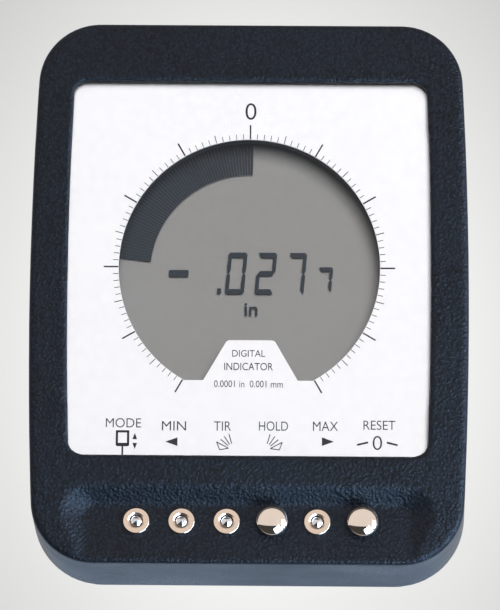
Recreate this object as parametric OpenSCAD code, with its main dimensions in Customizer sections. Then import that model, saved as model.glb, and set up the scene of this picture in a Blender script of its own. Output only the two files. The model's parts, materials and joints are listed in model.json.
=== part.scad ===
// Electronic dial indicator with a back plunger.
// The display faces +Z and its top is towards +Y. The measuring spindle points down, along -Z.
// The origin is on the stem's axis, in the outer face of the back cover. Millimetres.

/* [Case] */
// Widest width of the case at its front edge
case_w = 61.4; // [60:0.1:64]
// Height of the case at its front edge
case_h = 76.4; // [76:0.1:80]
// Depth from the back cover's outer face to the front face
case_d = 27; // [27:0.5:30]
// Radius of the case's corners at the front edge
case_r = 8.7; // [7:0.1:10]
// Radius of the outward bow of the long sides
side_r = 600; // [400:50:1200]
// Draft of the side walls, in degrees
draft = 3.5; // [2:0.5:4]
// Thickness of the case's walls
wall = 2; // [1.8:0.1:2.2]

/* [Window] */
// Width of the bezel's opening at its middle
opening_w = 50.8; // [48:0.1:52]
// Height of the bezel's opening
opening_h = 52.95; // [50:0.05:53]
// Height of the opening's centre above the stem's axis
opening_y = 3.35; // [3:0.05:3.5]
// Radius of the round display window in the dial plate
window_r = 18.36; // [17:0.1:19]
// Height of the dial's centre above the stem's axis
dial_y = 3.5; // [3:0.1:4]
// Depth of the liquid-crystal layer below the printed face
lcd_depth = 4.5; // [4.2:0.1:4.6]

/* [Keys] */
// Distance from one key to the next
key_pitch = 6.25; // [6:0.05:6.4]
// Distance of the row's middle to the right of the stem's axis
key_shift = 0.3; // [0:0.1:0.4]
// Distance of the row of keys below the stem's axis
key_row = 32.35; // [31.8:0.05:32.5]
// Slope of the key shelf, in degrees
shelf_slope = 11; // [9:0.5:12]
// Outer diameter of a key's metal collar
collar_d = 3.65; // [3.2:0.05:4]
// Diameter of a key's pin
key_pin_d = 1.56; // [1.4:0.02:1.6]
// Diameter of the domed cap on the hold and reset keys
cap_d = 4.4; // [4:0.1:4.8]
// Travel of a key
key_travel = 0.5; // [0.3:0.1:0.5]

/* [Measuring stem] */
// Diameter of the mounting stem
stem_d = 9.525; // [8:0.005:9.525]
// Length of the mounting stem outside the case
stem_len = 20; // [19:0.5:22]
// Diameter of the spindle
spindle_d = 4; // [3.8:0.1:4.2]
// Travel of the spindle
spindle_travel = 5.08; // [4:0.01:5.08]
// Length of the contact point
contact_len = 6.5; // [5:0.5:8]

/* [Battery] */
// Diameter of the coin cell
cell_d = 20; // [16:1:20]
// Thickness of the coin cell
cell_t = 3.2; // [2:0.1:3.2]
// Height of the cell's centre above the stem's axis
cell_y = 23; // [22.5:0.1:23.5]

/* [Hidden] */
$fn = 48;
eps = 0.01;

// Levels from the back of the case (0) to its front face
cover_t = 2.5;
gasket_t = 0.4;
rim_z = cover_t + gasket_t;
front_wall = 2.5;
roof_z = case_d - front_wall;
lip_t = 0.7;
lens_gasket_t = 0.3;
lens_t = 0.8;
plate_t = 0.5;
lens_top = case_d - lip_t - lens_gasket_t;
plate_top = lens_top - lens_t;
plate_z = plate_top - plate_t;
lcd_z = plate_top - lcd_depth;
glass_t = 1.1;
board_t = 1.6;
board_top = 17;
board_z = board_top - board_t;
edge_chamfer = 0.4;

// Outlines
front_y = case_h / 2;
spread = (case_d - rim_z) * tan(draft);
ledge = 1.1;
pocket_gap = 0.1;
corner_fn = 64;
side_fn = 720;
opening_r = 1.9;

// Key shelf
shelf_drop = tan(shelf_slope);
function shelf_z(y) = case_d - (y + front_y) * shelf_drop;
shelf_floor_x = 22.7;
shelf_foot_y = -29.9;
shelf_lip_x = 25.7;
shelf_lip_y = -27.5;
shelf_wall = 2;
n_keys = 6;
capped = [3, 5];
function key_x(i) = key_shift + (i - (n_keys - 1) / 2) * key_pitch;
collar_h = 0.45;
barrel_d = 2.6;
key_bore_d = key_pin_d + 0.1;
plunger_d = 1.8;
pin_end = -3.6;
switch_top = -4.4;
key_board_top = -6.4;
key_board_y = [-2.6, 5];
key_board_x = 21;

// Fasteners
screw_x = 25;
screw_y = 32.6;
boss_r = 3;
screw_r = 1.25;
screw_core_r = 1;
board_screw_at = [[-17, 33.6], [4, 33.6], [-20, -26.2], [20, -26.2]];
board_boss_r = 2.3;
board_screw_r = 0.9;

// Measuring stem
stem_r = stem_d / 2;
spindle_r = spindle_d / 2;
shoulder_r = 5.2;
flange_r = 7.5;
flange_t = 2;
flange_top = cover_t + flange_t;
stem_bore_r = 3.5;
run_gap = 0.02;
spindle_low = -stem_len - 7;
spindle_high = 9;
collar_z = -12.5;
spindle_collar_t = 1.5;
spring_top = -2;
guide_x = 6.2;
guide_r = 0.8;
carrier_z = 5.6;
carrier_t = 3;
scale_y = -11;
wiper_t = 1.2;

// Battery well and cap
well_in = cell_d / 2 + 0.3;
well_out = well_in + 2.3;
cap_r = well_in + 1.1;
counterbore_r = cap_r + 0.15;
lug_r = well_in + 0.9;
groove_r = lug_r + 0.2;
cell_z = 3.6;
well_roof = cell_z + cell_t + 0.8;
lug_half = 12;
unlock_angle = 60;

// Data port
port_x = 14.5;
port_z = 13.4;
port_w = 11;
port_h = 4.4;
port_seat_y = front_y + 0.2;

// A rounded rectangle whose long sides bow outwards
module bowed_outline(w, h, r, bow_r) {
    cx = w / 2 - bow_r;
    yc = h / 2 - r;
    xc = cx + sqrt((bow_r - r) * (bow_r - r) - yc * yc);
    yt = yc * bow_r / (bow_r - r);
    for (sx = [-1, 1], sy = [-1, 1]) {
        translate([sx * xc, sy * yc]) circle(r, $fn = corner_fn);
    }
    square([2 * xc, h], center = true);
    intersection() {
        square([w + 1, 2 * yt], center = true);
        translate([cx, 0]) circle(bow_r, $fn = side_fn);
        translate([-cx, 0]) circle(bow_r, $fn = side_fn);
    }
}

// The case's outline, grown outwards
module case_outline(grow = 0) {
    bowed_outline(case_w + 2 * grow, case_h + 2 * grow, case_r + grow, side_r);
}

// A thin slice of the case's outline at a height
module case_slice(z, grow) {
    translate([0, 0, z]) linear_extrude(eps) case_outline(grow);
}

// The bezel's opening, grown outwards
module opening_outline(grow = 0) {
    translate([0, opening_y])
        bowed_outline(opening_w + 2 * grow, opening_h + 2 * grow, opening_r + grow, side_r);
}

// The round display window with its flat foot and the raised tab for the printed legend
module window_outline(grow = 0) {
    chord_y = -16 - grow;
    tab_top = -10.33 - grow;
    tab_r = 0.7;
    tab_x = 0.28;
    translate([0, dial_y]) difference() {
        circle(window_r + grow, $fn = 128);
        translate([-window_r - 1, chord_y - window_r]) square([2 * window_r + 2, window_r]);
        hull() {
            for (s = [-1, 1])
                translate([tab_x + s * (2.9 - grow), tab_top - tab_r]) circle(tab_r, $fn = 32);
            translate([tab_x - 6.6 + grow, chord_y - 1]) square([2 * (6.6 - grow), 1]);
        }
    }
}

// Places its children in the frame of a key: the shelf's surface is z = 0, and +z points out
module at_key(x) {
    translate([x, -key_row, shelf_z(-key_row)]) rotate([-shelf_slope, 0, 0]) children();
}

module tube(z0, z1, r_out, r_in) {
    translate([0, 0, z0]) difference() {
        cylinder(h = z1 - z0, r = r_out);
        translate([0, 0, -1]) cylinder(h = z1 - z0 + 2, r = r_in);
    }
}

module rod(z0, z1, r) {
    translate([0, 0, z0]) cylinder(h = z1 - z0, r = r);
}

module at_corners() {
    for (sx = [-1, 1], sy = [-1, 1]) translate([sx * screw_x, sy * screw_y, 0]) children();
}

module box(from, to) {
    translate(from) cube(to - from);
}

// ---- Case ----

// The recess at the foot of the face that the keys stand in
module key_recess() {
    hull() {
        for (s = [-1, 1]) {
            translate([s * (shelf_floor_x - 2), shelf_foot_y - 2, shelf_z(shelf_foot_y - 2)])
                rotate([-shelf_slope, 0, 0]) cylinder(h = eps, r = 2, $fn = 32);
            translate([s * (shelf_lip_x - 3.4), shelf_lip_y - 3.4, case_d])
                cylinder(h = 1, r = 3.4, $fn = 32);
            translate([s * shelf_floor_x, -front_y - 2, shelf_z(-front_y - 2)]) cube(eps, center = true);
            translate([s * shelf_floor_x, -front_y - 2, case_d + 3]) cube(eps, center = true);
        }
    }
}

// The hollow inside the case: the main chamber, and the chamber behind the key shelf
module case_hollow() {
    difference() {
        hull() {
            case_slice(rim_z - 1, spread - wall);
            case_slice(roof_z - eps, front_wall * tan(draft) - wall);
        }
        at_key(0) box([-40, -12, -shelf_wall], [40, 4.4, 12]);
    }
}

module front_housing() {
    color("#1d2838") difference() {
        union() {
            difference() {
                hull() {
                    case_slice(rim_z, spread);
                    case_slice(case_d - edge_chamfer, 0);
                    case_slice(case_d - eps, -edge_chamfer);
                }
                case_hollow();
                translate([0, 0, roof_z - 1]) linear_extrude(lip_t + 5) opening_outline();
                translate([0, 0, roof_z - 1])
                    linear_extrude(front_wall - lip_t + 1) opening_outline(ledge + pocket_gap);
                key_recess();
            }
            at_corners() rod(rim_z, roof_z + eps, boss_r);
            for (p = board_screw_at) translate(p) rod(board_top, roof_z + eps, board_boss_r);
        }
        at_corners() rod(rim_z - 1, 14, screw_core_r);
        for (p = board_screw_at) translate(p) rod(board_top - 1, 22, board_screw_r);
        for (i = [0 : n_keys - 1]) at_key(key_x(i)) rod(-shelf_wall - 2, 2, barrel_d / 2 + 0.01);
        translate([port_x, front_y, port_z]) cube([port_w, 8, port_h], center = true);
        box([port_x - 7.5, port_seat_y, port_z - 4], [port_x + 7.5, front_y + 5, port_z + 4]);
    }
}

module back_cover() {
    color("#15181d") difference() {
        union() {
            hull() {
                case_slice(0, spread - 1);
                case_slice(0.7, spread - 0.3);
            }
            translate([0, 0, 0.7]) linear_extrude(cover_t - 0.7) case_outline(spread - 0.3);
            translate([0, cell_y, 0]) rod(1, well_roof + 1, well_out);
        }
        rod(-1, cover_t + 1, shoulder_r + 0.02);
        at_corners() rod(-1, cover_t + 1, screw_r + 0.15);
        at_corners() translate([0, 0, -eps]) cylinder(h = 1.4, r1 = 2.6, r2 = 1.2);
        for (a = [90, 210, 330]) rotate(a) translate([guide_x, 0, 0]) rod(0.4, cover_t + 1, 0.7);
        translate([0, cell_y, 0]) {
            rod(-1, 1.2, counterbore_r);
            rod(0, well_roof, well_in);
            rod(2.6, 3.6, groove_r);
            for (a = [0, 180]) rotate(a + unlock_angle) lug_sector(0, 3, lug_r + 0.15, lug_half + 3);
        }
        box([-16, -29, -1], [16, -13, 0.3]);
    }
}

// A sector of a disc, as wide as twice the half angle
module lug_sector(z0, z1, r, half) {
    intersection() {
        rod(z0, z1, r);
        translate([0, 0, z0]) linear_extrude(z1 - z0)
            polygon([[0, 0], [30 * cos(half), -30 * sin(half)], [30 * cos(half), 30 * sin(half)]]);
    }
}

module cover_gasket() {
    color("#222222") translate([0, 0, cover_t]) difference() {
        linear_extrude(gasket_t) case_outline(spread - 0.3);
        translate([0, 0, -1]) linear_extrude(gasket_t + 2) case_outline(spread - wall + 0.1);
    }
}

module cover_screws() {
    color("silver") at_corners() difference() {
        union() {
            cylinder(h = 1.35, r1 = 2.5, r2 = screw_r);
            rod(1.3, rim_z, screw_r);
            rod(rim_z - eps, 13, screw_core_r);
        }
        cross_slot(0.8, 2.6, 0.6);
    }
}

// A crossed driver recess cut from z = 0
module cross_slot(depth, length, width) {
    for (a = [0, 90]) rotate(a) translate([0, 0, depth / 2 - 0.5])
        cube([length, width, depth + 1], center = true);
}

module rating_plate() {
    color("#c9cdd2") box([-15.9, -28.9, 0], [15.9, -13.1, 0.3]);
}

// ---- Display ----

module lens_gasket() {
    color("#1a1a1a") translate([0, 0, lens_top]) linear_extrude(lens_gasket_t) difference() {
        opening_outline(ledge);
        opening_outline(0.05);
    }
}

module lens() {
    color("#dfe8ee", 0.35) translate([0, 0, plate_top]) linear_extrude(lens_t) opening_outline(ledge);
}

module dial_plate() {
    color("#f4f4f6") translate([0, 0, plate_z]) linear_extrude(plate_t) difference() {
        opening_outline(ledge);
        window_outline();
    }
}

// The holder behind the plate: it spaces the display off and clamps it to the board
module lcd_frame() {
    color("#16181a") difference() {
        box([-25, dial_y - 25.5, board_top], [25, dial_y + 25.5, plate_z]);
        box([-22.2, dial_y - 21.2, board_top - 1], [22.2, dial_y + 21.2, lcd_z + glass_t]);
        translate([0, 0, board_top]) linear_extrude(plate_z) window_outline(0.12);
    }
}

module lcd_front_glass() {
    color("#9da19b") box([-22, dial_y - 21, lcd_z], [22, dial_y + 21, lcd_z + glass_t]);
}

module lcd_rear_glass() {
    color("#92968f") box([-22, dial_y - 18.55, lcd_z - glass_t], [22, dial_y + 18.55, lcd_z]);
}

module lcd_reflector() {
    color("#b9bdb4") box([-21, dial_y - 18, lcd_z - glass_t - 0.2], [21, dial_y + 18, lcd_z - glass_t]);
}

module zebra_strips() {
    color("#e58fa0") for (s = [-1, 1]) translate([0, dial_y + s * 19.6, 0])
        box([-20, -1, board_top], [20, 1, lcd_z]);
}

module main_board() {
    color("#1f6b45") difference() {
        box([-27, -28.3, board_z], [27, 35.5, board_top]);
        for (s = [-1, 1]) translate([s * 25, 33, 0]) cube([7.4, 8, 2 * case_d], center = true);
        for (p = board_screw_at) translate(p) rod(0, case_d, board_screw_r + 0.2);
    }
}

module board_chips() {
    color("#202226") {
        box([-21, -8, board_z - 1.5], [-11, 2, board_z]);
        box([11, -6, board_z - 1.5], [18, 1, board_z]);
        box([-14, 14, board_z - 2.2], [-9, 26, board_z]);
        box([12, 12, board_z - 1.2], [17, 16, board_z]);
    }
}

module board_screws() {
    color("silver") for (p = board_screw_at) translate(p) difference() {
        union() {
            rod(board_z - 1.2, board_z, 1.9);
            rod(board_z - eps, 21, board_screw_r);
        }
        translate([0, 0, board_z - 1.2]) cross_slot(0.7, 2, 0.5);
    }
}

// ---- Keys ----

module key_board() {
    color("#1f6b45") at_key(0) difference() {
        box([-key_board_x, key_board_y[0], key_board_top - board_t],
            [key_board_x, key_board_y[1], key_board_top]);
        for (s = [-1, 1]) translate([s * 19.6, 3.4, 0]) rod(-10, 0, 0.9);
    }
}

module key_board_screws() {
    color("silver") at_key(0) for (s = [-1, 1]) translate([s * 19.6, 3.4, 0]) {
        rod(key_board_top - board_t - 0.9, key_board_top - board_t, 1.5);
        rod(key_board_top - board_t - eps, key_board_top + 0.6, 0.85);
    }
}

// The flat cable from the main board to the key board
module key_ribbon() {
    ribbon_t = 0.3;
    tail = key_board_top - board_t;
    drop_y = 2.75 - key_row;
    drop_top = 17.13;
    color("#b07a3a") {
        box([-6, -29, board_z - ribbon_t], [6, -25, board_z]);
        translate([-6, 0, 0]) rotate([90, 0, 90]) linear_extrude(12)
            polygon([[-29, board_z - ribbon_t], [-29, board_z], [drop_y, board_z], [drop_y, drop_top],
                     [drop_y - 0.35, drop_top], [drop_y - 0.35, board_z - ribbon_t]]);
        at_key(0) box([-6, 0.6, tail - ribbon_t], [6, 4.2, tail]);
    }
}

module key_switches() {
    color("#2b2b2e") for (i = [0 : n_keys - 1]) at_key(key_x(i)) difference() {
        box([-2.5, -2.2, key_board_top], [2.5, 2.2, switch_top]);
        rod(pin_end - 1.6 - key_travel - 0.1, 0, plunger_d / 2 + 0.1);
    }
}

// The flanged metal collar that each pin slides in, chamfered at its mouth
module key_collar() {
    bore_r = key_bore_d / 2;
    face_r = collar_d / 2;
    rotate_extrude() polygon([
        [bore_r, -shelf_wall], [barrel_d / 2, -shelf_wall], [barrel_d / 2, 0], [face_r, 0],
        [face_r, collar_h - 0.12], [face_r - 0.12, collar_h], [bore_r + 0.27, collar_h],
        [bore_r, collar_h - 0.3]
    ]);
}

module key_collars() {
    color("#d9c6ac") for (i = [0 : n_keys - 1]) at_key(key_x(i)) key_collar();
}

// A pin with its retaining flange and its cone-shaped tip, or a flat tip under a cap
module key_pin(i) {
    r = key_pin_d / 2;
    has_cap = len(search(i, capped)) > 0;
    top = has_cap ? collar_h + 1.25 : 0.15;
    color("#cfc5b6") at_key(key_x(i)) {
        rod(pin_end, top, r);
        rod(-shelf_wall - 0.75, -shelf_wall - 0.05, 1.25);
        if (!has_cap) {
            translate([0, 0, top - eps]) cylinder(h = 0.45, r1 = r, r2 = 0.06);
        }
    }
}

// The switch's own plunger, pushed by the pin
module key_plunger(i) {
    color("#e8e2d0") at_key(key_x(i)) rod(pin_end - 1.6, pin_end, plunger_d / 2);
}

// The domed button pressed on the end of a pin
module key_cap(i) {
    rim = 0.35;
    dome = 0.95;
    foot = collar_h + key_travel + 0.1;
    sphere_r = (cap_d * cap_d / 4 + dome * dome) / (2 * dome);
    color("#d8cbb8") at_key(key_x(i)) translate([0, 0, foot]) difference() {
        union() {
            rod(0, rim, cap_d / 2);
            intersection() {
                translate([0, 0, rim + dome - sphere_r]) sphere(sphere_r, $fn = 96);
                rod(rim - eps, rim + dome + 1, cap_d / 2);
            }
        }
        rod(-1, collar_h + 1.25 - foot, key_pin_d / 2);
    }
}

// ---- Measuring stem and spindle ----

module stem() {
    color("#c8ccd0") difference() {
        union() {
            translate([0, 0, -stem_len]) cylinder(h = 0.5, r1 = stem_r - 0.5, r2 = stem_r);
            rod(0.5 - stem_len, 0, stem_r);
            rod(0, cover_t + eps, shoulder_r);
            rod(cover_t, flange_top, flange_r);
        }
        rod(-stem_len - 1, case_d, stem_bore_r);
        for (a = [90, 210, 330]) rotate(a) translate([guide_x, 0, 0]) rod(cover_t - 1, case_d, 0.85);
        translate([guide_x, 0, 0]) rod(cover_t + 0.5, case_d, guide_r);
    }
}

module stem_screws() {
    color("#9aa0a6") for (a = [90, 210, 330]) rotate(a) translate([guide_x, 0, 0]) {
        rod(0.4, flange_top + eps, 0.7);
        rod(flange_top, flange_top + 0.8, 1.25);
    }
}

module lower_bushing() {
    color("#b58a4a") tube(wiper_t + 0.2 - stem_len, collar_z, stem_bore_r, spindle_r + run_gap);
}

module upper_bushing() {
    color("#b58a4a") tube(spring_top, flange_top, stem_bore_r, spindle_r + run_gap);
}

module dust_wiper() {
    color("#1a1a1a") tube(-stem_len, wiper_t - stem_len, stem_bore_r, spindle_r + 0.1);
}

module guide_rod() {
    color("silver") translate([guide_x, 0, 0]) rod(cover_t + 0.5, 15, guide_r);
}

module spindle() {
    color("#d5d8db") difference() {
        rod(spindle_low, spindle_high, spindle_r);
        rod(spindle_low - 1, spindle_low + 4, 1.1);
    }
}

module spindle_collar() {
    color("#b0b4b8") tube(collar_z, collar_z + spindle_collar_t, 3.1, spindle_r);
}

// The contact point: a screwed shank, a knurled body, a tapered nose and a ball tip
module contact_point() {
    ball_r = 1.5;
    low = spindle_low - contact_len;
    color("#aeb3b8") {
        rod(spindle_low - eps, spindle_low + 3.8, 1.1);
        rod(spindle_low - 3, spindle_low, 2.4);
        translate([0, 0, low + ball_r]) cylinder(h = contact_len - 3 - ball_r + eps, r1 = ball_r, r2 = 2.4);
        translate([0, 0, low + ball_r]) sphere(ball_r);
    }
}

// A compression spring between the spindle's collar and the upper bushing, as one swept helix
module return_spring() {
    coils = 5;
    wire = 0.55;
    mean_r = 2.7;
    low = collar_z + spindle_collar_t + wire / 2;
    high = spring_top - wire / 2;
    steps = 14;
    sides = 6;
    n = coils * steps;
    function point(k, j) =
        let (a = 360 * k / steps, b = 360 * j / sides, r = mean_r + wire / 2 * cos(b))
        [r * cos(a), r * sin(a), low + (high - low) * k / n + wire / 2 * sin(b)];
    color("#8d9297") polyhedron(
        points = [for (k = [0 : n], j = [0 : sides - 1]) point(k, j)],
        faces = concat(
            [[for (j = [0 : sides - 1]) j]],
            [for (k = [0 : n - 1], j = [0 : sides - 1])
                [k * sides + j, (k + 1) * sides + j, (k + 1) * sides + (j + 1) % sides]],
            [for (k = [0 : n - 1], j = [0 : sides - 1])
                [k * sides + j, (k + 1) * sides + (j + 1) % sides, k * sides + (j + 1) % sides]],
            [[for (j = [sides - 1 : -1 : 0]) n * sides + j]]
        )
    );
}

// The clamp on the spindle's top: it carries the scale and slides along the guide rod
module scale_carrier() {
    ear_r = 1.7;
    color("#b9bdc2") difference() {
        union() {
            rod(carrier_z, carrier_z + carrier_t, 4.2);
            translate([guide_x, 0, 0]) rod(carrier_z, carrier_z + carrier_t, ear_r);
            box([0, -ear_r, carrier_z], [guide_x, ear_r, carrier_z + carrier_t]);
            box([-3, scale_y + 1, carrier_z + 0.5], [3, 0, carrier_z + carrier_t - 0.5]);
        }
        rod(0, case_d, spindle_r);
        translate([guide_x, 0, 0]) rod(0, case_d, guide_r + 0.05);
        translate([0, 0, carrier_z + carrier_t / 2]) rotate([-90, 0, 0]) rod(0, 6, 0.6);
    }
}

module carrier_screw() {
    color("#6e7378") translate([0, 0, carrier_z + carrier_t / 2]) rotate([-90, 0, 0]) {
        rod(spindle_r + 0.02, 4.3, 0.6);
        rod(4.25, 5, 1.1);
    }
}

module glass_scale() {
    color("#a8c4cc") box([-3, scale_y, 3.2], [3, scale_y + 1, 10]);
}

module reader_board() {
    color("#1f6b45") box([-7, scale_y - 2.2, 5], [7, scale_y - 1.2, board_z]);
}

module reader_chip() {
    color("#202226") box([-2.5, scale_y - 1.2, 7.5], [2.5, scale_y - 0.3, 10.5]);
}

// ---- Battery ----

module battery() {
    color("#c4c8cc") translate([0, cell_y, 0]) {
        rod(cell_z, cell_z + cell_t - 0.3, cell_d / 2);
        rod(cell_z + cell_t - 0.3 - eps, cell_z + cell_t, cell_d / 2 - 1.2);
    }
}

module battery_cap() {
    color("#1b1f26") translate([0, cell_y, 0]) difference() {
        union() {
            rod(0, 1, cap_r);
            rod(1 - eps, 3.5, well_in - 0.2);
            for (a = [0, 180]) rotate(a) lug_sector(2.7, 3.5, lug_r, lug_half);
        }
        rod(1.4, 4, well_in - 1.6);
        box([-8, -0.8, -1], [8, 0.8, 0.7]);
    }
}

module battery_cap_seal() {
    color("#3a3a3a") translate([0, cell_y, 0]) tube(1, 1.15, cap_r - 0.1, well_in - 0.2);
}

module top_contact() {
    low = cell_z + cell_t;
    color("#c9b27a") translate([0, cell_y, 0]) {
        box([-3, -6, well_roof - 0.3], [3, 6, well_roof]);
        rod(low, well_roof - 0.3 + eps, 1.2);
    }
}

module side_contact() {
    color("#c9b27a") translate([0, cell_y, 0])
        box([cell_d / 2 + 0.01, -0.7, 4], [cell_d / 2 + 0.24, 0.7, well_roof - 0.3]);
}

// ---- Data port ----

module data_connector() {
    inner_y = front_y - wall - 0.2;
    color("#3b3f45") difference() {
        box([port_x - 5, 29, board_z - 3.6], [port_x + 5, inner_y, board_z]);
        box([port_x - 4.2, inner_y - 4.5, board_z - 3], [port_x + 4.2, inner_y + 1, board_z - 0.6]);
    }
}

// The soft plug that closes the port, with a tab to pull it by
module data_port_cover() {
    color("#101214") {
        box([port_x - 7.2, port_seat_y + 0.05, port_z - 3.7],
            [port_x + 7.2, port_seat_y + 0.8, port_z + 3.7]);
        box([port_x - 5.2, front_y - 1.5, port_z - 1.9], [port_x + 5.2, port_seat_y + 0.1, port_z + 1.9]);
        box([port_x - 2.5, port_seat_y + 0.7, port_z - 3.7],
            [port_x + 2.5, port_seat_y + 1.5, port_z - 2.6]);
    }
}

front_housing();
back_cover();
cover_gasket();
cover_screws();
rating_plate();
lens_gasket();
lens();
dial_plate();
lcd_frame();
lcd_front_glass();
lcd_rear_glass();
lcd_reflector();
zebra_strips();
main_board();
board_chips();
board_screws();
key_board();
key_board_screws();
key_ribbon();
key_switches();
key_collars();
key_pin(0);  // mode_key
key_pin(1);  // min_key
key_pin(2);  // tir_key
key_pin(3);  // hold_key
key_pin(4);  // max_key
key_pin(5);  // reset_key
key_plunger(0);  // mode_plunger
key_plunger(1);  // min_plunger
key_plunger(2);  // tir_plunger
key_plunger(3);  // hold_plunger
key_plunger(4);  // max_plunger
key_plunger(5);  // reset_plunger
key_cap(3);  // hold_cap
key_cap(5);  // reset_cap
stem();
stem_screws();
lower_bushing();
upper_bushing();
dust_wiper();
guide_rod();
spindle();
spindle_collar();
contact_point();
return_spring();
scale_carrier();
carrier_screw();
glass_scale();
reader_board();
reader_chip();
battery();
battery_cap();
battery_cap_seal();
top_contact();
side_contact();
data_connector();
data_port_cover();
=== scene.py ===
"""Looks for an electronic dial indicator with a back plunger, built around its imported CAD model.

The display faces +Z with its top towards +Y, and the spindle points down the -Z axis. Lengths are
in metres; mm turns a size in millimetres into metres.
"""

import json
import math

import bpy
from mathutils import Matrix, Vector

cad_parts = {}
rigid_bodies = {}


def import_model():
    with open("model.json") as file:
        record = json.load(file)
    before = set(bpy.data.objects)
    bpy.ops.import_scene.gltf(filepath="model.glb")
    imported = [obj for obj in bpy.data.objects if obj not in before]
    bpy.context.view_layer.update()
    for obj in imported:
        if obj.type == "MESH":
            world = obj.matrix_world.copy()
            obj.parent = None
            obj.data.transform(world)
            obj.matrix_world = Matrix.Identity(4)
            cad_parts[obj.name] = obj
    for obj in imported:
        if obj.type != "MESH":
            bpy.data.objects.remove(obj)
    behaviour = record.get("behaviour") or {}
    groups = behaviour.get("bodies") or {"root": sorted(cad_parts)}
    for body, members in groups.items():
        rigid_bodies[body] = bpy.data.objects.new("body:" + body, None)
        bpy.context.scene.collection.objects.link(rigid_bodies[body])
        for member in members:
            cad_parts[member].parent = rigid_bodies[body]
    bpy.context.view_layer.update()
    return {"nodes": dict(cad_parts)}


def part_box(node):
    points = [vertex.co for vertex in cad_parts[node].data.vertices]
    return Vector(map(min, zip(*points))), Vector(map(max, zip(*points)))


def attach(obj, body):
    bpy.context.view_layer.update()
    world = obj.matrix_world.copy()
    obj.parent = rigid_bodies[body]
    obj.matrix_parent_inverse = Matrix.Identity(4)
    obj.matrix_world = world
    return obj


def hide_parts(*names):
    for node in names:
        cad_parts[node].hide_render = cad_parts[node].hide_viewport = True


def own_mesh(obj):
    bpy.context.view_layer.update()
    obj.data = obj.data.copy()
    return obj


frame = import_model()
nodes = frame["nodes"]
mm = 0.001


# ---- Bench, camera and light ----
# The indicator is shown over a glowing bench, seen from a little below the middle of its
# display. The bench's glow is painted light: brightest in the middle, darker towards its edges,
# and it leaves no shadow of the case. A broad soft box lights the dial, and two low bluish ones
# rake across the case.

def new_material(name):
    """Makes a node material and returns it with its node tree and its shader."""
    material = bpy.data.materials.new(name)
    material.use_nodes = True
    tree = material.node_tree
    return material, tree, tree.nodes["Principled BSDF"]


def add_node(tree, kind, place, **inputs):
    """Adds a shader node and sets its input sockets by name, with _ for a space."""
    node = tree.nodes.new(kind)
    node.location = place
    for socket, value in inputs.items():
        node.inputs[socket.replace("_", " ")].default_value = value
    return node


def add_ramp(tree, place, low, high, low_colour, high_colour):
    """Adds a colour ramp between two positions."""
    ramp = add_node(tree, "ShaderNodeValToRGB", place)
    ramp.color_ramp.elements[0].position = low
    ramp.color_ramp.elements[0].color = low_colour
    ramp.color_ramp.elements[1].position = high
    ramp.color_ramp.elements[1].color = high_colour
    return ramp


def glowing_material(name, colour, shine):
    """Makes a black material that glows, and returns it with its node tree and its shader."""
    material, tree, shader = new_material(name)
    shader.inputs["Base Color"].default_value = (0, 0, 0, 1)
    shader.inputs["Specular IOR Level"].default_value = shine
    shader.inputs["Emission Color"].default_value = (*colour, 1)
    shader.inputs["Emission Strength"].default_value = 1
    return material, tree, shader


def hide_from(piece, *rays):
    """Hides a piece from some kinds of ray."""
    for ray in rays:
        setattr(piece, f"visible_{ray}", False)


bench_edge = (0.60, 0.60, 0.59)
bench_painted_bright_middle = (0.93, 0.93, 0.925)
bpy.ops.object.select_all(action="DESELECT")
bench_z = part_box("contact_point")[0][2]
bpy.ops.mesh.primitive_plane_add(size=4, location=(0, 0, bench_z))
bench = bpy.context.object
bench.name = "bench"

# The bench is no lamp: its glow is painted light and stands in for the light falling on it.
bench_top, bench_tree, bench_shader = glowing_material("bench_painted_glow", bench_edge, 0)
bench_shader.inputs["Base Color"].default_value = (0.03, 0.03, 0.03, 1)
bench_shader.inputs["Roughness"].default_value = 1
bench_place = add_node(bench_tree, "ShaderNodeTexCoord", (-1100, 0))
bench_scale = add_node(bench_tree, "ShaderNodeMapping", (-900, 0), Scale=(16, 12.5, 0))
# The glow fades from a bright middle to darker edges: a painted pool of light.
bench_painted_falloff = add_node(bench_tree, "ShaderNodeTexGradient", (-600, 0))
bench_painted_falloff.gradient_type = "SPHERICAL"
bench_tint = add_ramp(bench_tree, (-300, 0), 0, 0.6, (*bench_edge, 1), (*bench_painted_bright_middle, 1))
bench_tree.links.new(bench_place.outputs["Object"], bench_scale.inputs["Vector"])
bench_tree.links.new(bench_scale.outputs["Vector"], bench_painted_falloff.inputs["Vector"])
bench_tree.links.new(bench_painted_falloff.outputs["Fac"], bench_tint.inputs["Fac"])
bench_tree.links.new(bench_tint.outputs["Color"], bench_shader.inputs["Emission Color"])
bench.data.materials.append(bench_top)

# A plain wall far round the bench, which only the camera sees, closes the view near the horizon.
wall_r, wall_height = 1.9, 2.4
bpy.ops.object.select_all(action="DESELECT")
bpy.ops.mesh.primitive_cylinder_add(
    vertices=96,
    radius=wall_r,
    depth=wall_height,
    end_fill_type="NOTHING",
    location=(0, 0, bench_z + wall_height / 2),
)
wall = bpy.context.object
wall.name = "wall"
hide_from(wall, "diffuse", "glossy", "transmission", "shadow")
wall.data.materials.append(glowing_material("wall_paint", bench_edge, 0)[0])

face_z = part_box("front_housing")[1][2]
plate_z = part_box("dial_plate")[1][2]
aim = (0.13 * mm, -1.84 * mm, plate_z)
view_distance = 400 * mm
tilt = math.radians(9.35)
yaw = math.radians(0.57)
roll = math.radians(0.48)
eye = (
    aim[0] + view_distance * math.sin(yaw) * math.cos(tilt),
    aim[1] - view_distance * math.sin(tilt),
    aim[2] + view_distance * math.cos(yaw) * math.cos(tilt),
)
bpy.ops.object.camera_add(location=eye)
camera = bpy.context.object
camera.rotation_mode = "ZXY"
camera.rotation_euler = (tilt, yaw, roll)
camera.data.lens = 168.5
camera.data.clip_start = 0.01
bpy.context.scene.camera = camera


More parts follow.
